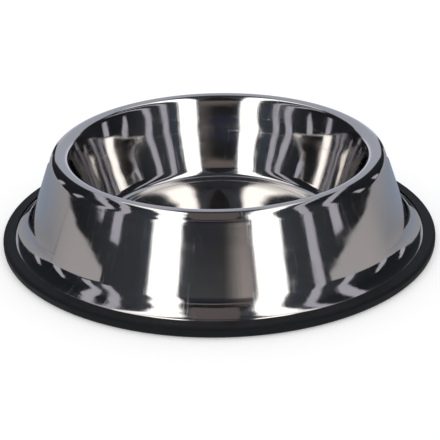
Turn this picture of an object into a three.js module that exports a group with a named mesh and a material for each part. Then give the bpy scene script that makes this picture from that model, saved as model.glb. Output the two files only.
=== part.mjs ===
import * as THREE from 'three';

// Stainless steel pet bowl in a non-slip rubber ring.
// Millimetres and degrees, +Z up. The bowl's axis is Z and the ring stands on Z = 0.
// Both pieces are solids of revolution, so each is drawn as a section of (radius, height).

// Driving dimensions

// Overall
const baseDiameter = 250; // outside of the rubber ring
const bowlHeight = 53.3; // ground to the crest of the rim
const fitGap = 0.3; // air left between the steel flange and the rubber around it

// Steel pressing, measured on its polished face
const sheetThickness = 0.5;
const floorHeight = 2.8; // ground to the top of the bowl's flat middle
const dishWidth = 24; // rising band of the floor, from its flat middle to the floor corner
const dishSlope = 15; // slope of that band where it meets the floor corner
const floorCorner = 9.3; // bend between the floor and the inner wall
const footLean = 26.7; // inner wall from the vertical just above the floor corner
const wallLean = 16.4; // inner wall from the vertical at mid height, where it is steepest
const shoulderLean = 22.8; // inner wall from the vertical just below the rim
const innerFold = 5.4; // bend from the inner wall to the crest
const outerFold = 6.8; // bend from the crest to the skirt
const skirtLean = 19.6; // skirt from the vertical, wider at the foot
const flareRadius = 13; // bend from the skirt to the flange
const flangeFall = 10; // slope of the flange, down towards its edge

// Rubber ring
const ringWall = 2.4; // rubber outside the edge of the flange
const soleThickness = 3.95; // rubber under the edge of the flange
const grooveDepth = 4.3; // how far the flange reaches into the ring
const lipTip = 0.35; // thickness of the upper lip at its inner edge
const soleWidth = 11; // foot of the ring, from its outside to its inner edge
const outerRound = 2.2; // rounding of the upper and lower outside edges
const innerRound = 1; // rounding of the edges that face the bowl's axis

// Facets
const turnSteps = 72; // steps round the axis, a multiple of four
const bendStep = 15; // largest turn between two points of a bend in the sheet
const bowStep = 3; // largest turn between two points of the dished floor or of a bow in the inner wall
const roundStep = 30; // largest turn between two points of a rounded rubber edge

const steel = new THREE.MeshStandardMaterial({ color: 0xc9cbce, roughness: 0.1, metalness: 1 });
const rubber = new THREE.MeshStandardMaterial({ color: 0x22252a, roughness: 0.78, metalness: 0 });

const radians = THREE.MathUtils.degToRad;

// Unit vector in the section plane: 0 points away from the axis and 90 points up.
function direction(angle) {
  return new THREE.Vector2(Math.cos(radians(angle)), Math.sin(radians(angle)));
}

function shifted(point, angle, distance) {
  return point.clone().addScaledVector(direction(angle), distance);
}

// Where a line of the given slope through a point stands at another radius.
function heightAt(radius, point, fall) {
  return point.y - (radius - point.x) * Math.tan(radians(fall));
}

// Centre at a chosen height, so far from another centre when measured along the facing angle.
function centreAcross(other, height, facing, distance) {
  const normal = direction(facing);
  const radius = other.x + (distance - (height - other.y) * normal.y) / normal.x;
  return new THREE.Vector2(radius, height);
}

// Angles from one facing to another, in equal steps no larger than the given one.
function facings(from, to, largestStep) {
  const steps = Math.ceil(Math.abs(to - from) / largestStep);
  return Array.from({ length: steps + 1 }, (_, i) => THREE.MathUtils.lerp(from, to, i / steps));
}

// Points of a sheet along one bend. Each keeps the angle that the polished face looks in.
// side is 1 where the face is on the outside of the bend, and -1 where it is on the inside.
function bend(centre, radius, side, from, to, step = bendStep) {
  return facings(from, to, step).map(
    (facing) => ({ face: shifted(centre, facing, side * radius), facing }));
}

// The same for a wide bow, without the point that the bend before it ends on.
function wideBend(centre, radius, side, from, to) {
  return bend(centre, radius, side, from, to, bowStep).slice(1);
}

// Rounded edge of a solid section, from one facing angle to another.
function roundedEdge(centre, radius, from, to) {
  return facings(from, to, roundStep).map((facing) => shifted(centre, facing, radius));
}

// Turns a section into a solid round Z. It runs anticlockwise, seen with the axis on its left.
function revolve(section) {
  const geometry = new THREE.LatheGeometry(section, turnSteps);
  geometry.rotateX(Math.PI / 2);
  return geometry;
}

// Places shared by the flange and the groove that holds it

const baseRadius = baseDiameter / 2;
const grooveEnd = baseRadius - ringWall;
const flangeFacing = 90 - flangeFall;
const slopeShare = Math.cos(radians(flangeFall));
const gapUpright = fitGap / slopeShare;
const sheetUpright = sheetThickness / slopeShare;
const grooveFloor = new THREE.Vector2(grooveEnd, soleThickness);
const flangeEdge = new THREE.Vector2(grooveEnd - fitGap, 0);
flangeEdge.y = heightAt(flangeEdge.x, grooveFloor, flangeFall) + gapUpright + sheetUpright;
const flareEnd = new THREE.Vector2(flangeEdge.x - grooveDepth, 0);
flareEnd.y = heightAt(flareEnd.x, flangeEdge, flangeFall);

// One deep-drawn sheet: dished floor, inner wall, folded rim, skirt, flare and flange.
// The floor is flat in the middle and rises in a shallow bow to the corner under the wall.
// The inner wall is an S: a shallow bow outwards below the rim runs into one inwards above the floor.
// The bows share the height left to them. The straight skirt is the tangent between its two bends.
function bowlShellSection() {
  const skirtFacing = skirtLean;
  const shoulderFacing = 180 - shoulderLean;
  const wallFacing = 180 - wallLean;
  const footFacing = 180 - footLean;
  const dishFacing = 90 + dishSlope;

  const flareCentre = shifted(flareEnd, flangeFacing, flareRadius);
  const outerFoldCentre = centreAcross(
    flareCentre, bowlHeight - outerFold, skirtFacing, -(flareRadius + outerFold));
  const innerFoldCentre = new THREE.Vector2(outerFoldCentre.x, bowlHeight - innerFold);

  const wallTop = shifted(innerFoldCentre, shoulderFacing, innerFold);
  const dishEdgeHeight = floorHeight + dishWidth * Math.tan(radians(dishSlope / 2));
  const cornerRise = floorCorner * (direction(dishFacing).y - direction(footFacing).y);
  const wallFootHeight = dishEdgeHeight + cornerRise;
  const bowShare = direction(shoulderFacing).y + direction(footFacing).y - 2 * direction(wallFacing).y;
  const wallBow = (wallTop.y - wallFootHeight) / bowShare;
  const upperBowCentre = shifted(wallTop, shoulderFacing, -wallBow);
  const lowerBowCentre = shifted(upperBowCentre, wallFacing, 2 * wallBow);
  const wallFoot = shifted(lowerBowCentre, footFacing, -wallBow);
  const cornerCentre = shifted(wallFoot, footFacing, floorCorner);
  const dishRadius = dishWidth / direction(dishSlope).y;
  const dishCentre = shifted(cornerCentre, dishFacing, dishRadius - floorCorner);
  const dishStart = shifted(dishCentre, 90, -dishRadius);

  const sheet = [
    { face: new THREE.Vector2(0, floorHeight), facing: 90 },
    { face: dishStart, facing: 90 },
    ...wideBend(dishCentre, dishRadius, -1, 90, dishFacing),
    ...bend(cornerCentre, floorCorner, -1, dishFacing, footFacing).slice(1),
    ...wideBend(lowerBowCentre, wallBow, -1, footFacing, wallFacing),
    ...wideBend(upperBowCentre, wallBow, 1, wallFacing, shoulderFacing),
    ...bend(innerFoldCentre, innerFold, 1, shoulderFacing, 90).slice(1),
    ...bend(outerFoldCentre, outerFold, 1, 90, skirtFacing).slice(1),
    ...bend(flareCentre, flareRadius, -1, skirtFacing, flangeFacing),
    { face: flangeEdge, facing: flangeFacing },
  ];
  const polishedFace = sheet.map((point) => point.face);
  const hiddenFace = sheet.map((point) => shifted(point.face, point.facing, -sheetThickness));
  return [...hiddenFace, ...polishedFace.reverse()];
}

// Ring with a flat sole, a rounded outside and a groove whose tapered lip hugs the flange.
function nonSlipRingSection() {
  const grooveHeight = sheetUpright + 2 * gapUpright;
  const lipRadius = flareEnd.x;
  const grooveFloorInner = heightAt(lipRadius, grooveFloor, flangeFall);
  const lipUnderside = grooveFloorInner + grooveHeight;
  const ringTop = lipUnderside + lipTip;
  const outsideCentre = baseRadius - outerRound;
  const insideCentre = baseRadius - soleWidth + innerRound;
  const section = [
    ...roundedEdge(new THREE.Vector2(outsideCentre, outerRound), outerRound, -90, 0),
    ...roundedEdge(new THREE.Vector2(outsideCentre, ringTop - outerRound), outerRound, 0, 90),
    new THREE.Vector2(lipRadius, ringTop),
    new THREE.Vector2(lipRadius, lipUnderside),
    new THREE.Vector2(grooveEnd, soleThickness + grooveHeight),
    grooveFloor,
    new THREE.Vector2(lipRadius, grooveFloorInner),
    ...roundedEdge(new THREE.Vector2(insideCentre, soleThickness - innerRound), innerRound, 90, 180),
    ...roundedEdge(new THREE.Vector2(insideCentre, innerRound), innerRound, 180, 270),
  ];
  return [...section, section[0].clone()];
}

function piece(name, section, material) {
  const mesh = new THREE.Mesh(revolve(section), material);
  mesh.name = name;
  return mesh;
}

const petBowl = new THREE.Group();
petBowl.add(piece('bowl_shell', bowlShellSection(), steel));
petBowl.add(piece('non_slip_ring', nonSlipRingSection(), rubber));

export default petBowl;
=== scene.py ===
import math

import bpy
import numpy as np
from mathutils import Matrix, Vector


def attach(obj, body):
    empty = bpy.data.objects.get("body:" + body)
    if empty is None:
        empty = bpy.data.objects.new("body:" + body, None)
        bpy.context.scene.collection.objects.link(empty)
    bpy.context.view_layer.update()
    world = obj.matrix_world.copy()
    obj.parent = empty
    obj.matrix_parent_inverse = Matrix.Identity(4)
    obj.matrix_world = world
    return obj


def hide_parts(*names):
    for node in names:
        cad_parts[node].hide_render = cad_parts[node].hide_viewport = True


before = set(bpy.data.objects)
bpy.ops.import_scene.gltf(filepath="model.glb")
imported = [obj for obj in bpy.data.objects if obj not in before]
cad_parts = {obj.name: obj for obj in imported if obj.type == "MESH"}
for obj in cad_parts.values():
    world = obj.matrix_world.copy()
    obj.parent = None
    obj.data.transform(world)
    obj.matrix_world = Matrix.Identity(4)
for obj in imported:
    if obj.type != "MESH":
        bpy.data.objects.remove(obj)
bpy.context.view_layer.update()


# Sizes in metres, the same as the part's source

BASE_RADIUS = 0.125
BOWL_HEIGHT = 0.0533
FIT_GAP = 0.0003
SHEET = 0.0005
FLOOR_HEIGHT = 0.0028
DISH_WIDTH = 0.024
DISH_SLOPE = 15
FLOOR_CORNER = 0.0093
FOOT_LEAN = 26.7
WALL_LEAN = 16.4
SHOULDER_LEAN = 22.8
INNER_FOLD = 0.0054
OUTER_FOLD = 0.0068
SKIRT_LEAN = 19.6
FLARE_RADIUS = 0.013
FLANGE_FALL = 10
RING_WALL = 0.0024
SOLE_THICKNESS = 0.00395
GROOVE_DEPTH = 0.0043
LIP_TIP = 0.00035
SOLE_WIDTH = 0.011
OUTER_ROUND = 0.0022
INNER_ROUND = 0.001

TURN_STEPS = 360


# Sections

def direction(angle):
    return Vector((math.cos(math.radians(angle)), math.sin(math.radians(angle))))


def arc(centre, radius, side, start, end, step):
    """Points of a bend, each with the angle that the polished face looks in."""
    count = max(2, math.ceil(abs(end - start) / step) + 1)
    angles = [start + (end - start) * i / (count - 1) for i in range(count)]
    return [(centre + direction(a) * radius * side, a) for a in angles]


def height_at(radius, point, fall):
    return point.y - (radius - point.x) * math.tan(math.radians(fall))


def centre_across(other, height, facing, distance):
    normal = direction(facing)
    return Vector((other.x + (distance - (height - other.y) * normal.y) / normal.x, height))


slope = math.cos(math.radians(FLANGE_FALL))
groove_end = BASE_RADIUS - RING_WALL
groove_floor = Vector((groove_end, SOLE_THICKNESS))
flange_edge = Vector((groove_end - FIT_GAP, 0))
flange_edge.y = height_at(flange_edge.x, groove_floor, FLANGE_FALL) + (FIT_GAP + SHEET) / slope
flare_end = Vector((flange_edge.x - GROOVE_DEPTH, 0))
flare_end.y = height_at(flare_end.x, flange_edge, FLANGE_FALL)


def steel_section():
    """Polished face of the pressing from the axis to the flange edge."""
    flare_centre = flare_end + direction(90 - FLANGE_FALL) * FLARE_RADIUS
    outer_fold = centre_across(
        flare_centre, BOWL_HEIGHT - OUTER_FOLD, SKIRT_LEAN, -(FLARE_RADIUS + OUTER_FOLD))
    inner_fold = Vector((outer_fold.x, BOWL_HEIGHT - INNER_FOLD))
    shoulder, wall, foot = 180 - SHOULDER_LEAN, 180 - WALL_LEAN, 180 - FOOT_LEAN
    wall_top = inner_fold + direction(shoulder) * INNER_FOLD
    dish = 90 + DISH_SLOPE
    dish_edge = FLOOR_HEIGHT + DISH_WIDTH * math.tan(math.radians(DISH_SLOPE / 2))
    foot_height = dish_edge + FLOOR_CORNER * (direction(dish).y - direction(foot).y)
    share = direction(shoulder).y + direction(foot).y - 2 * direction(wall).y
    bow = (wall_top.y - foot_height) / share
    upper = wall_top - direction(shoulder) * bow
    lower = upper + direction(wall) * 2 * bow
    corner = lower - direction(foot) * bow + direction(foot) * FLOOR_CORNER
    dish_radius = DISH_WIDTH / direction(DISH_SLOPE).y
    dish_centre = corner + direction(dish) * (dish_radius - FLOOR_CORNER)
    flat = [(Vector((dish_centre.x * i / 14, FLOOR_HEIGHT)), 90) for i in range(14)]
    skirt_top = outer_fold + direction(SKIRT_LEAN) * OUTER_FOLD
    skirt_foot = flare_centre - direction(SKIRT_LEAN) * FLARE_RADIUS
    skirt = [(skirt_top.lerp(skirt_foot, i / 12), SKIRT_LEAN) for i in range(1, 12)]
    flange = [(flare_end.lerp(flange_edge, i / 3), 90 - FLANGE_FALL) for i in range(1, 4)]
    return (
        flat
        + arc(dish_centre, dish_radius, -1, 90, dish, 0.5)
        + arc(corner, FLOOR_CORNER, -1, dish, foot, 2.5)[1:]
        + arc(lower, bow, -1, foot, wall, 0.5)[1:]
        + arc(upper, bow, 1, wall, shoulder, 0.5)[1:]
        + arc(inner_fold, INNER_FOLD, 1, shoulder, 90, 3)[1:]
        + arc(outer_fold, OUTER_FOLD, 1, 90, SKIRT_LEAN, 3)[1:]
        + skirt
        + arc(flare_centre, FLARE_RADIUS, -1, SKIRT_LEAN, 90 - FLANGE_FALL, 3)
        + flange)


def ring_section():
    """Closed section of the rubber ring, anticlockwise, each point with its outward normal."""
    groove_height = (SHEET + 2 * FIT_GAP) / slope
    lip_radius = flare_end.x
    floor_inner = height_at(lip_radius, groove_floor, FLANGE_FALL)
    underside = floor_inner + groove_height
    top = underside + LIP_TIP
    outside = BASE_RADIUS - OUTER_ROUND
    inside = BASE_RADIUS - SOLE_WIDTH + INNER_ROUND
    edge = 0.00012
    points = arc(Vector((outside, OUTER_ROUND)), OUTER_ROUND, 1, -90, 0, 7.5)
    points += arc(Vector((outside, top - OUTER_ROUND)), OUTER_ROUND, 1, 0, 90, 7.5)
    lip_edge = lip_radius + edge
    points += [(Vector((outside + (lip_edge - outside) * i / 6, top)), 90) for i in range(1, 6)]
    points += arc(Vector((lip_edge, top - edge)), edge, 1, 90, 180, 22.5)
    points += arc(Vector((lip_edge, underside + edge)), edge, 1, 180, 250, 22.5)
    points += [
        (Vector((groove_end, SOLE_THICKNESS + groove_height)), 270 - FLANGE_FALL),
        (Vector((groove_end, SOLE_THICKNESS + groove_height)), 180),
        (groove_floor.copy(), 180),
        (groove_floor.copy(), 90 - FLANGE_FALL),
        (Vector((lip_radius, floor_inner)), 90 - FLANGE_FALL),
    ]
    points += arc(Vector((inside, SOLE_THICKNESS - INNER_ROUND)), INNER_ROUND, 1, 90, 180, 15)
    points += arc(Vector((inside, INNER_ROUND)), INNER_ROUND, 1, 180, 270, 15)
    points += [(Vector((inside + (outside - inside) * i / 5, 0)), -90) for i in range(1, 5)]
    return points


def revolve(name, section):
    """Turns a closed section into a mesh round Z. The normals come from the section's own angles."""
    verts, normals, uvs, faces = [], [], [], []
    lengths = [0.0]
    for (a, _), (b, _) in zip(section, section[1:]):
        lengths.append(lengths[-1] + (b - a).length)
    count = len(section)
    for turn in range(TURN_STEPS):
        angle = math.tau * turn / TURN_STEPS
        c, s = math.cos(angle), math.sin(angle)
        for (point, facing) in section:
            n = direction(facing)
            verts.append((point.x * c, point.x * s, point.y))
            normals.append((n.x * c, n.x * s, n.y))
    for turn in range(TURN_STEPS):
        here, there = turn * count, (turn + 1) % TURN_STEPS * count
        for row in range(count):
            nxt = (row + 1) % count
            if (section[row][0] - section[nxt][0]).length < 1e-9:
                continue
            faces.append((here + row, there + row, there + nxt, here + nxt))
    mesh = bpy.data.meshes.new(name)
    mesh.from_pydata(verts, [], faces)
    mesh.update()
    along = mesh.attributes.new("along", "FLOAT", "POINT")
    for i in range(len(verts)):
        along.data[i].value = lengths[i % count] * 1000
    mesh.polygons.foreach_set("use_smooth", [True] * len(mesh.polygons))
    mesh.normals_split_custom_set_from_vertices(normals)
    piece = bpy.data.objects.new(name, mesh)
    bpy.context.scene.collection.objects.link(piece)
    return piece


def steel_piece():
    face = steel_section()
    hidden = [(p - direction(a) * SHEET, a + 180) for (p, a) in face]
    # the axis point is moved a hair off it, so that no face has a side of no length
    hair = 2e-5
    face[0] = (Vector((hair, FLOOR_HEIGHT)), 90)
    hidden[0] = (Vector((hair, FLOOR_HEIGHT - SHEET)), 270)
    return revolve("bowl_polished", hidden + face[::-1])


# Materials

def new_material(name):
    material = bpy.data.materials.new(name)
    material.use_nodes = True
    nodes = material.node_tree.nodes
    return material, nodes, material.node_tree.links, nodes["Principled BSDF"]


def math_node(nodes, links, operation, first, second=None):
    node = nodes.new("ShaderNodeMath")
    node.operation = operation
    for socket, value in zip(node.inputs, (first, second)):
        if value is None:
            continue
        if isinstance(value, (int, float)):
            socket.default_value = value
        else:
            links.new(value, socket)
    return node.outputs[0]


def turned_noise(nodes, links, around, along, detail, roughness=0.5):
    """Noise laid on the pressing: so fine round the axis, and so fine from the middle to the flange."""
    place = nodes.new("ShaderNodeTexCoord")
    flat = nodes.new("ShaderNodeVectorMath")
    flat.operation = "MULTIPLY"
    flat.inputs[1].default_value = (1, 1, 0)
    links.new(place.outputs["Object"], flat.inputs[0])
    unit = nodes.new("ShaderNodeVectorMath")
    unit.operation = "NORMALIZE"
    links.new(flat.outputs[0], unit.inputs[0])
    scaled = nodes.new("ShaderNodeVectorMath")
    scaled.operation = "SCALE"
    scaled.inputs["Scale"].default_value = around
    links.new(unit.outputs[0], scaled.inputs[0])
    reader = nodes.new("ShaderNodeAttribute")
    reader.attribute_name = "along"
    lift = nodes.new("ShaderNodeCombineXYZ")
    links.new(math_node(nodes, links, "MULTIPLY", reader.outputs["Fac"], along), lift.inputs["Z"])
    total = nodes.new("ShaderNodeVectorMath")
    total.operation = "ADD"
    links.new(scaled.outputs[0], total.inputs[0])
    links.new(lift.outputs[0], total.inputs[1])
    noise = nodes.new("ShaderNodeTexNoise")
    noise.inputs["Scale"].default_value = 1
    noise.inputs["Detail"].default_value = detail
    noise.inputs["Roughness"].default_value = roughness
    links.new(total.outputs[0], noise.inputs["Vector"])
    return noise.outputs["Fac"]


def mapped(nodes, links, value, low, high, start, end):
    node = nodes.new("ShaderNodeMapRange")
    node.inputs["From Min"].default_value = low
    node.inputs["From Max"].default_value = high
    node.inputs["To Min"].default_value = start
    node.inputs["To Max"].default_value = end
    links.new(value, node.inputs["Value"])
    return node.outputs["Result"]


def bump(nodes, links, height, distance, before=None):
    node = nodes.new("ShaderNodeBump")
    node.inputs["Strength"].default_value = 1
    node.inputs["Distance"].default_value = distance
    links.new(height, node.inputs["Height"])
    if before is not None:
        links.new(before, node.inputs["Normal"])
    return node.outputs["Normal"]


def height_and_radius(nodes, links):
    place = nodes.new("ShaderNodeTexCoord")
    parts = nodes.new("ShaderNodeSeparateXYZ")
    links.new(place.outputs["Object"], parts.inputs[0])
    flat = nodes.new("ShaderNodeVectorMath")
    flat.operation = "MULTIPLY"
    flat.inputs[1].default_value = (1, 1, 0)
    links.new(place.outputs["Object"], flat.inputs[0])
    length = nodes.new("ShaderNodeVectorMath")
    length.operation = "LENGTH"
    links.new(flat.outputs[0], length.inputs[0])
    return parts.outputs["Z"], length.outputs["Value"]


def ring_line(nodes, links, value, centre, half):
    """1 on a line round the bowl at the given height or radius, falling to 0 at half its width."""
    away = math_node(nodes, links, "ABSOLUTE", math_node(nodes, links, "SUBTRACT", value, centre))
    return mapped(nodes, links, away, 0.3 * half, half, 1, 0)


def steel_material():
    """Buffed steel: polish rings, faint upright draw marks, fine scratches, smudges and waviness."""
    material, nodes, links, shader = new_material("polished_steel")
    shader.inputs["Metallic"].default_value = 1
    height, radius = height_and_radius(nodes, links)
    rings = turned_noise(nodes, links, 1.5, 5.0, 3, 0.6)
    draw = turned_noise(nodes, links, 55, 0.05, 3, 0.6)
    waves = turned_noise(nodes, links, 2.6, 0.07, 1, 0.4)
    scratches = turned_noise(nodes, links, 14, 9, 2, 0.7)
    smudges = turned_noise(nodes, links, 4, 0.12, 4, 0.6)
    normal = bump(nodes, links, waves, 0.00018)
    normal = bump(nodes, links, rings, 0.0000025, normal)
    normal = bump(nodes, links, draw, 0.00001, normal)
    normal = bump(nodes, links, scratches, 0.0000015, normal)
    # fine wrinkles where the skirt leaves the folded rim
    wrinkles = turned_noise(nodes, links, 190, 0.3, 2, 0.6)
    under_rim = math_node(nodes, links, "MULTIPLY", ring_line(nodes, links, height, 0.0482, 0.0011),
                          mapped(nodes, links, radius, 0.086, 0.088, 0, 1))
    wrinkled = math_node(nodes, links, "MULTIPLY", wrinkles, under_rim)
    normal = bump(nodes, links, wrinkled, 0.000014, normal)
    links.new(normal, shader.inputs["Normal"])
    # dull lines that the drawing die left: broken ones on the inner wall, one round the dished floor
    broken = mapped(nodes, links, turned_noise(nodes, links, 26, 0.3, 3, 0.7), 0.42, 0.66, 0, 0.13)
    inside = mapped(nodes, links, radius, 0.0845, 0.0855, 1, 0)
    die_lines = math_node(nodes, links, "ADD", ring_line(nodes, links, height, 0.0406, 0.0004),
                          ring_line(nodes, links, height, 0.0323, 0.0005))
    die_lines = math_node(nodes, links, "MULTIPLY", die_lines, inside)
    die_lines = math_node(nodes, links, "MULTIPLY", die_lines, broken)
    floor_line = math_node(nodes, links, "MULTIPLY", ring_line(nodes, links, radius, 0.0605, 0.0005), 0.26)
    rough = math_node(nodes, links, "ADD", mapped(nodes, links, smudges, 0.45, 0.75, 0.045, 0.12),
                      mapped(nodes, links, scratches, 0.6, 0.8, 0.0, 0.08))
    rough = math_node(nodes, links, "ADD", rough, math_node(nodes, links, "ADD", die_lines, floor_line))
    rough = math_node(nodes, links, "ADD", rough, mapped(nodes, links, draw, 0.56, 0.72, 0, 0.09))
    links.new(rough, shader.inputs["Roughness"])
    ramp = nodes.new("ShaderNodeValToRGB")
    ramp.color_ramp.elements[0].color = (0.655, 0.632, 0.612, 1)
    ramp.color_ramp.elements[1].color = (0.685, 0.658, 0.63, 1)
    links.new(smudges, ramp.inputs["Fac"])
    links.new(ramp.outputs["Color"], shader.inputs["Base Color"])
    return material


def rubber_material():
    """Moulded black rubber with a fine skin and a paler upper face, partly dust and partly painted sheen."""
    material, nodes, links, shader = new_material("ring_rubber")
    place = nodes.new("ShaderNodeTexCoord")
    grain = nodes.new("ShaderNodeTexNoise")
    grain.inputs["Scale"].default_value = 1800
    grain.inputs["Detail"].default_value = 2
    links.new(place.outputs["Object"], grain.inputs["Vector"])
    cloud = nodes.new("ShaderNodeTexNoise")
    cloud.inputs["Scale"].default_value = 60
    cloud.inputs["Detail"].default_value = 4
    links.new(place.outputs["Object"], cloud.inputs["Vector"])
    ramp = nodes.new("ShaderNodeValToRGB")
    ramp.color_ramp.elements[0].color = (0.0045, 0.0055, 0.0075, 1)
    ramp.color_ramp.elements[1].color = (0.008, 0.009, 0.0118, 1)
    links.new(cloud.outputs["Fac"], ramp.inputs["Fac"])
    # painted sheen and dust: upward faces are mixed in patches towards a paler grey, standing partly for dust
    # and partly for the light the top face catches
    dust_and_sheen = nodes.new("ShaderNodeMix")
    dust_and_sheen.data_type = "RGBA"
    dust_and_sheen.inputs["B"].default_value = (0.022, 0.022, 0.025, 1)
    facing = nodes.new("ShaderNodeSeparateXYZ")
    links.new(place.outputs["Normal"], facing.inputs[0])
    upward = mapped(nodes, links, facing.outputs["Z"], 0.6, 0.95, 0, 0.7)
    patchy = mapped(nodes, links, cloud.outputs["Fac"], 0.3, 0.7, 0.4, 1)
    links.new(math_node(nodes, links, "MULTIPLY", upward, patchy), dust_and_sheen.inputs["Factor"])
    links.new(ramp.outputs["Color"], dust_and_sheen.inputs["A"])
    links.new(dust_and_sheen.outputs["Result"], shader.inputs["Base Color"])
    shader.inputs["Specular IOR Level"].default_value = 0.13
    rough = mapped(nodes, links, cloud.outputs["Fac"], 0.35, 0.7, 0.5, 0.64)
    links.new(rough, shader.inputs["Roughness"])
    links.new(bump(nodes, links, grain.outputs["Fac"], 0.00002), shader.inputs["Normal"])
    return material


bowl = steel_piece()
bowl.data.materials.append(steel_material())
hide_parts("bowl_shell")
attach(bowl, "root")

ring = revolve("ring_rubber", ring_section())
ring.data.materials.append(rubber_material())
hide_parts("non_slip_ring")
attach(ring, "root")


# Studio

STUDIO_RADIUS = 0.6
TUBE_RADIUS = 0.37
TABLE_RADIUS = 0.23
TABLE_TOP = 0.0004
TABLE_START = 0.1275
STRIP_SOFTNESS = 1.5
STRIP_TONE = 2.4


def on_studio(azimuth, elevation, radius=STUDIO_RADIUS):
    """Azimuth 0 is towards the camera and 90 is to the right, in degrees."""
    a, e = math.radians(azimuth), math.radians(elevation)
    return Vector((math.sin(a) * math.cos(e), -math.cos(a) * math.cos(e), math.sin(e))) * radius


def glow(name, colour, strength):
    material = bpy.data.materials.new(name)
    material.use_nodes = True
    nodes, links = material.node_tree.nodes, material.node_tree.links
    nodes.clear()
    emission = nodes.new("ShaderNodeEmission")
    emission.inputs["Color"].default_value = (*colour, 1)
    emission.inputs["Strength"].default_value = strength
    out = nodes.new("ShaderNodeOutputMaterial")
    links.new(emission.outputs[0], out.inputs["Surface"])
    return material


def studio_object(name, verts, faces, material):
    mesh = bpy.data.meshes.new(name)
    mesh.from_pydata([tuple(v) for v in verts], [], faces)
    mesh.materials.append(material)
    item = bpy.data.objects.new(name, mesh)
    bpy.context.scene.collection.objects.link(item)
    item.visible_camera = False
    item.visible_diffuse = False
    item.visible_shadow = False
    return item


def toned_object(name, material_name, verts, faces, colours):
    """A studio piece that glows in the colour kept at each of its points."""
    material = glow(material_name, (1, 1, 1), 1)
    item = studio_object(name, verts, faces, material)
    tones = item.data.attributes.new("tone", "FLOAT_COLOR", "POINT")
    tones.data.foreach_set("color", np.array(colours).ravel())
    nodes, links = material.node_tree.nodes, material.node_tree.links
    reader = nodes.new("ShaderNodeAttribute")
    reader.attribute_name = "tone"
    links.new(reader.outputs["Color"], nodes["Emission"].inputs["Color"])


# The reflections come from a dome of strips, tubes, table pieces and a sheet, seen by glossy rays alone.
# Their directions, widths and tones were worked out from the reflections in the photograph, by programs
# that traced its picture back by way of the bowl's section, and were then adjusted by hand.
# Each tone is what polished steel would show, before its own colour.

def smooth(value, start, end):
    t = np.clip((value - start) / (end - start), 0, 1)
    return t * t * (3 - 2 * t)


def smooth_path(path, steps):
    """Directions and half widths along a smooth curve through (azimuth, elevation, half width)."""
    centres = [np.array(on_studio(a, e, 1)) for a, e, _ in path]
    widths = [w for _, _, w in path]
    fine = []
    for i in range(len(path) - 1):
        before, here, there = centres[max(i - 1, 0)], centres[i], centres[i + 1]
        after = centres[min(i + 2, len(path) - 1)]
        for t in np.linspace(0, 1, steps, endpoint=False):
            p = 0.5 * (2 * here + (there - before) * t
                       + (2 * before - 5 * here + 4 * there - after) * t * t
                       + (3 * here - before - 3 * there + after) * t ** 3)
            fine.append((p / np.linalg.norm(p), widths[i] + (widths[i + 1] - widths[i]) * t))
    return fine + [(centres[-1], widths[-1])]


def strip(points, path, soft):
    """How much of each direction a soft strip along a path covers."""
    nearest = np.full(len(points), 1e9)
    for p, width in smooth_path(path, 25):
        away = np.degrees(np.arccos(np.clip(points @ p, -1, 1)))
        nearest = np.minimum(nearest, away - width)
    return 1 - smooth(nearest, -soft, soft)


def laid_over(tones, colour, cover):
    return tones * (1 - cover[:, None]) + np.array(colour) * cover[:, None]


def studio_tones(azimuth, elevation):
    """Colour of the studio in each direction, azimuth from -180 to 180 with 0 at the camera."""
    points = np.array([on_studio(a, e, 1) for a, e in zip(azimuth, elevation)])
    turn = np.abs(azimuth)
    level = np.interp(turn, [0, 40, 62, 85, 100, 130, 145], [0.05, 0.05, 0.042, 0.02, 0.016, 0.02, 0.03])
    level = level + 0.014 * smooth(elevation, 45, 75)
    tones = level[:, None] * np.array((0.9, 1.0, 1.2))
    # the slit between the two long strips
    slit = smooth(azimuth, -24, -20) * (1 - smooth(azimuth, 16, 19))
    rise = smooth(azimuth, 1, 14)
    low = np.interp(elevation, [0, 8, 13, 18, 30, 90], [0.08, 0.07, 0.048, 0.026, 0.018, 0.022])
    side = np.interp(elevation, [0, 13, 15, 18, 24, 40, 48], [0.33, 0.27, 0.22, 0.09, 0.05, 0.06, 0.0])
    cool = 1 - smooth(azimuth, -6, 4)
    warm_tint, cool_tint = np.array((0.08, -0.03, -0.05)), np.array((-0.06, 0, 0.12))
    tint = 1 + rise[:, None] * warm_tint + cool[:, None] * cool_tint
    tones = tones * (1 - slit[:, None]) + ((low + side * rise)[:, None] * tint) * slit[:, None]
    blue_line = 0.35 * slit * (1 - rise) * smooth(elevation, 15, 17) * (1 - smooth(elevation, 23, 26))
    tones = laid_over(tones, (0.035, 0.042, 0.085), blue_line)
    brown_band = slit * smooth(elevation, 30.8, 32.2) * (1 - smooth(elevation, 34.5, 36.5))
    tones = laid_over(tones, (0.17, 0.145, 0.14), brown_band)
    for path in ([(-45, 17, 2), (-46, 26, 2)], [(41, 17, 2), (42, 26, 2)]):
        tones = laid_over(tones, (0.04, 0.07, 0.12), 0.4 * strip(points, path, 4))
    # the pale wall behind the bowl
    edge = np.interp(elevation, [-4, 9, 12, 15, 20, 30, 45, 52, 58, 68, 74],
                     [153, 152, 151, 149, 142.5, 144, 142, 142, 146, 150, 172])
    behind = smooth(turn, edge - 1.2, edge + 1.2) * (1 - smooth(elevation, 57, 70))
    near_floor = (1 - smooth(elevation, 6, 20)) * smooth(turn, 150, 162)
    pale = np.array((0.44, 0.47, 0.55)) * (1 + 0.75 * near_floor)[:, None]
    tones = tones * (1 - behind[:, None]) + pale * behind[:, None]
    for path in long_strips:
        wide = [(a, e, w + 3.5) for a, e, w in path]
        tones = laid_over(tones, (0.1, 0.115, 0.15), 0.35 * strip(points, wide, 4))
        cover = strip(points, path, STRIP_SOFTNESS)
        tone = STRIP_TONE - 1.2 * smooth(turn, 115, 138)
        tones = tones * (1 - cover)[:, None] + (tone * cover)[:, None]
    return tones


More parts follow.
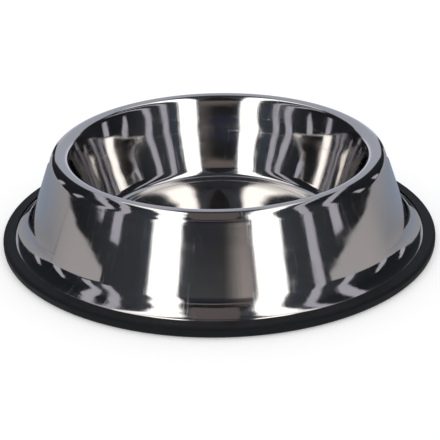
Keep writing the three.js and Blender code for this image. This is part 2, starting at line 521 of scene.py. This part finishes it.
long_strips = [
    [(26.7, 2, 7.6), (26.7, 10, 7.6), (26.7, 14, 7.7), (26.8, 17.5, 7.1), (26.7, 21, 7.1),
     (26.8, 26, 6.8), (26.9, 30, 6.7), (28, 40, 6.3), (30, 48, 5.7), (36.5, 60, 5.1), (45, 66, 4.9),
     (70, 73, 4.9), (96, 74.6, 5.3), (128, 71.4, 4.3), (144, 63.5, 3.8), (147, 59.5, 3)],
    [(-29.6, 2, 7.7), (-29.6, 10, 7.7), (-29.6, 14, 7.9), (-28.8, 17.5, 7.5), (-28.4, 21, 7.4),
     (-28.3, 26, 7.1), (-29, 30, 6.9), (-32.5, 40, 6.5), (-35.2, 50, 5.5), (-41, 60, 5),
     (-55, 67.7, 4.9), (-84, 74.5, 5.2), (-112, 74, 4.9), (-133, 67, 4.5), (-141, 60, 3.7),
     (-141, 55.5, 3)],
]


def studio_dome():
    rows = np.concatenate((np.arange(-4, 12, 1.0), np.arange(12, 90, 0.5)))
    turns = np.arange(-180, 180, 0.5)
    elevation, azimuth = [grid.ravel() for grid in np.meshgrid(rows, turns, indexing="ij")]
    verts = [on_studio(a, e) for a, e in zip(azimuth, elevation)]
    faces = []
    for row in range(len(rows) - 1):
        for turn in range(len(turns)):
            a, b = row * len(turns) + turn, row * len(turns) + (turn + 1) % len(turns)
            faces.append((a, a + len(turns), b + len(turns), b))
    top = (len(rows) - 1) * len(turns)
    faces.append([top + turn for turn in range(len(turns))])
    colours = np.hstack([studio_tones(azimuth, elevation), np.ones((len(verts), 1))])
    toned_object("studio_dome", "studio_tones", verts, faces, colours)


studio_dome()


def tube(name, path):
    """A narrow crisp light along (azimuth, elevation, half width)."""
    fine = smooth_path(path, 8)
    verts, faces = [], []
    for i, (p, width) in enumerate(fine):
        along = fine[min(i + 1, len(fine) - 1)][0] - fine[max(i - 1, 0)][0]
        side = np.cross(along, p)
        side *= math.tan(math.radians(width)) / np.linalg.norm(side)
        for q in (p - side, p + side):
            verts.append(q / np.linalg.norm(q) * TUBE_RADIUS)
        if i:
            faces.append((2 * i - 2, 2 * i, 2 * i + 1, 2 * i - 1))
    studio_object(name, verts, faces, tube_grey)


tube_grey = glow("studio_tube", (0.49, 0.487, 0.567), 1)
tube("tube_right_1", [
    (49.5, 0, 2.8), (49.5, 12, 2.7), (48.5, 20, 2.6), (50, 30, 2.6), (53, 40, 2.6), (57, 47, 2.5),
    (66, 56, 2.3), (85, 62, 2), (112, 62, 1.8), (136, 56, 1.6)])
tube("tube_right_2", [
    (67, 8.5, 3.1), (66.5, 16, 2.9), (65.5, 22, 2.7), (66, 28, 2.7), (70, 34, 3), (75, 39.5, 3.2), (84, 45, 3),
    (100, 50, 2.6), (123, 50, 2.1), (134, 48, 1.7)])
tube("tube_right_3", [(92, 9.5, 3), (91.5, 15, 2.8), (90, 21, 2.2), (90, 26, 1)])
tube("tube_right_4", [(112, 9.5, 3), (111, 17, 2.6), (110.5, 23, 1.2)])
tube("tube_left_1", [
    (-57.2, 10, 2.9), (-57, 15, 2.8), (-56.2, 20, 2.7), (-55.8, 26, 2.6), (-57, 32, 2.6), (-61.2, 40, 2.7),
    (-67.6, 46.5, 2.5), (-78, 54, 2.2), (-101, 59, 1.9), (-132.6, 55, 1.7)])
tube("tube_left_2", [
    (-70, 11, 2.9), (-69, 18, 2.8), (-67, 24, 2.7), (-68, 30, 2.8), (-73.5, 36, 3.1), (-80.5, 41, 3.1),
    (-88.5, 45, 2.9), (-101, 50, 2.5), (-131, 51, 1.9)])
tube("tube_left_3", [(-91.5, 9.5, 3), (-91, 15, 2.8), (-89.5, 21, 2.2), (-89.5, 26, 1)])
tube("tube_left_4", [(-111.5, 9.5, 3), (-111, 17, 2.6), (-110.5, 23, 1.2)])


# A dim sheet hung aslant in front of the bowl and above it, in millimetres
corners = [(-58.5, -222, 181), (36, -222, 181), (15, -72, 116), (-24.5, -72, 116)]
studio_object("studio_sheet", [Vector(corner) / 1000 for corner in corners], [(0, 1, 2, 3)],
              glow("studio_sheet", (0.124, 0.109, 0.111), 1))


def table_card(name, heights):
    """A grey table top beside the bowl that ends in an upright edge, along (azimuth, height in mm)."""
    verts, faces, colours = [], [], []
    first, last = heights[0][0], heights[-1][0]
    steps = 160
    for k in range(steps + 1):
        azimuth = first + (last - first) * k / steps
        top = float(np.interp(azimuth, [a for a, _ in heights], [h for _, h in heights])) / 1000
        a = math.radians(azimuth)
        shade = [float(np.interp(abs(azimuth), (50, 74, 84, 90, 95, 110), tones)) for tones in (
            (0.46, 0.455, 0.4, 0.325, 0.29, 0.275), (0.45, 0.435, 0.385, 0.325, 0.295, 0.315),
            (0.46, 0.445, 0.4, 0.35, 0.325, 0.39))]
        shade = np.array(shade) * (0.78 if -89 < azimuth < -87.4 else 1)
        for radius, height in (
                (TABLE_START, TABLE_TOP), (0.18, TABLE_TOP), (TABLE_RADIUS, TABLE_TOP), (TABLE_RADIUS, top)):
            verts.append((math.sin(a) * radius, -math.cos(a) * radius, height))
            paler = 0.75 * float(smooth(height, 0.01, 0.05))
            colours.append((*(shade * (1 - paler) + np.array((0.43, 0.42, 0.43)) * paler), 1))
        if k:
            for j in range(3):
                faces.append((4 * k - 4 + j, 4 * k - 3 + j, 4 * k + 1 + j, 4 * k + j))
    toned_object(name, name, verts, faces, colours)


table_card("table_right", [(50, 28), (62, 35), (97, 38), (112, 60), (132, 62)])
table_card("table_left", [(-132, 62), (-108, 58), (-97, 48), (-90, 38), (-78, 35), (-64, 34), (-55, 28)])

def seen_directly(nodes, links):
    """1 for camera, glossy and transmission rays, which see the background as it is."""
    rays = nodes.new("ShaderNodeLightPath").outputs
    first = math_node(nodes, links, "MAXIMUM", rays["Is Camera Ray"], rays["Is Glossy Ray"])
    return math_node(nodes, links, "MAXIMUM", first, rays["Is Transmission Ray"])


# White floor
FLOOR_LIFT = 0.27
FLOOR_SIZE = 4
FLOOR_DROP = 0.00002
floor_material, nodes, links, shader = new_material("floor_white")
shader.inputs["Base Color"].default_value = (0.85, 0.85, 0.85, 1)
shader.inputs["Roughness"].default_value = 0.6
shader.inputs["Specular IOR Level"].default_value = 0.2
lift = math_node(nodes, links, "MULTIPLY", seen_directly(nodes, links), FLOOR_LIFT)
shader.inputs["Emission Color"].default_value = (1, 1, 1, 1)
links.new(lift, shader.inputs["Emission Strength"])
floor_mesh = bpy.data.meshes.new("floor")
floor_mesh.from_pydata(
    [(x * FLOOR_SIZE, y * FLOOR_SIZE, 0) for x, y in ((-1, -1), (1, -1), (1, 1), (-1, 1))],
    [], [(0, 1, 2, 3)])
floor_mesh.materials.append(floor_material)
floor = bpy.data.objects.new("floor", floor_mesh)
bpy.context.scene.collection.objects.link(floor)
floor.location.z = -FLOOR_DROP

# World: white to camera, glossy and transmission rays, and an even light level for the rest
AMBIENT_LEVEL = 0.93
world = bpy.data.worlds.new("studio_world")
bpy.context.scene.world = world
world.use_nodes = True
nodes, links = world.node_tree.nodes, world.node_tree.links
nodes.clear()
ambient = nodes.new("ShaderNodeBackground")
ambient.inputs["Color"].default_value = (1, 1, 1, 1)
ambient.inputs["Strength"].default_value = AMBIENT_LEVEL
backdrop = nodes.new("ShaderNodeBackground")
backdrop.inputs["Color"].default_value = (1, 1, 1, 1)
backdrop.inputs["Strength"].default_value = 1
mix = nodes.new("ShaderNodeMixShader")
out = nodes.new("ShaderNodeOutputWorld")
links.new(seen_directly(nodes, links), mix.inputs[0])
links.new(ambient.outputs[0], mix.inputs[1])
links.new(backdrop.outputs[0], mix.inputs[2])
links.new(mix.outputs[0], out.inputs["Surface"])

# Camera
FOCAL_PIXELS = 1147.55
PICTURE_PIXELS = 440
CAMERA_PLACE = Vector((0, -0.60877, 0.29173))
CAMERA_AIM = Vector((0.00051, 0, 0.00585))
CAMERA_ROLL = -0.0171
camera_data = bpy.data.cameras.new("camera")
camera = bpy.data.objects.new("camera", camera_data)
bpy.context.scene.collection.objects.link(camera)
bpy.context.scene.camera = camera
camera_data.sensor_width = 36
camera_data.lens = FOCAL_PIXELS / PICTURE_PIXELS * camera_data.sensor_width
camera_data.clip_start = 0.01
camera_data.clip_end = 30
camera.location = CAMERA_PLACE
forward = (CAMERA_AIM - CAMERA_PLACE).normalized()
right = forward.cross(Vector((0, 0, 1))).normalized()
up = right.cross(forward)
across = right * math.cos(CAMERA_ROLL) + up * math.sin(CAMERA_ROLL)
upright = up * math.cos(CAMERA_ROLL) - right * math.sin(CAMERA_ROLL)
axes = Matrix((across, upright, -forward)).transposed()
camera.rotation_mode = "QUATERNION"
camera.rotation_quaternion = axes.to_quaternion()

scene = bpy.context.scene
scene.view_settings.view_transform = "Standard"
